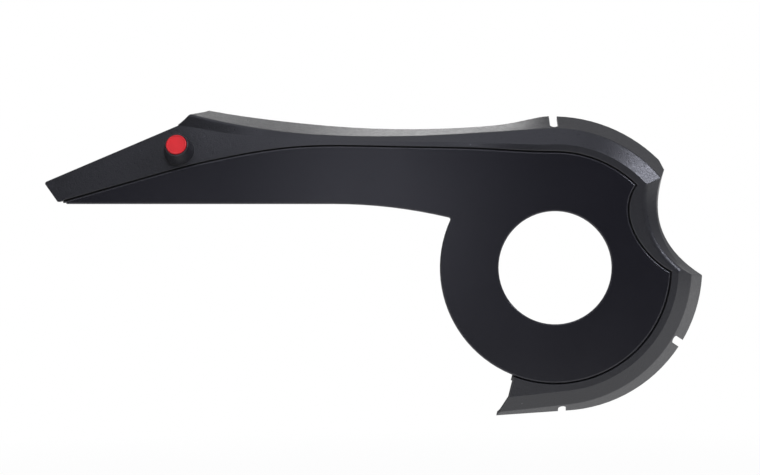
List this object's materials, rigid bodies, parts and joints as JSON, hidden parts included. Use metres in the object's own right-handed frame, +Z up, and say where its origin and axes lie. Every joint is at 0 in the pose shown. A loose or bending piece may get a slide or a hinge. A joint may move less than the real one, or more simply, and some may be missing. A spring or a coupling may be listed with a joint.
{
  "type": "bicycle chain guard",
  "caption": "Moulded chain guard: flared textured rim and rail over the upper chain run, smooth panel with a round crank opening, and a capped screw boss at the tail.",
  "frame": {"origin": "on the crank axis at the front face of the panel", "axes": "+X forward along the bicycle, +Y inboard along the crank axis, +Z up"},
  "size_m": [0.4684, 0.0351, 0.2176],
  "materials": {
    "rim_plastic": "fine moulded texture",
    "panel_plastic": "smooth satin",
    "cap_plastic": "satin moulded"
  },
  "bodies": {
    "root": {"rim_shell": "rim_plastic", "cover_panel": "panel_plastic", "fixing_cap": "cap_plastic"}
  },
  "joints": []
}
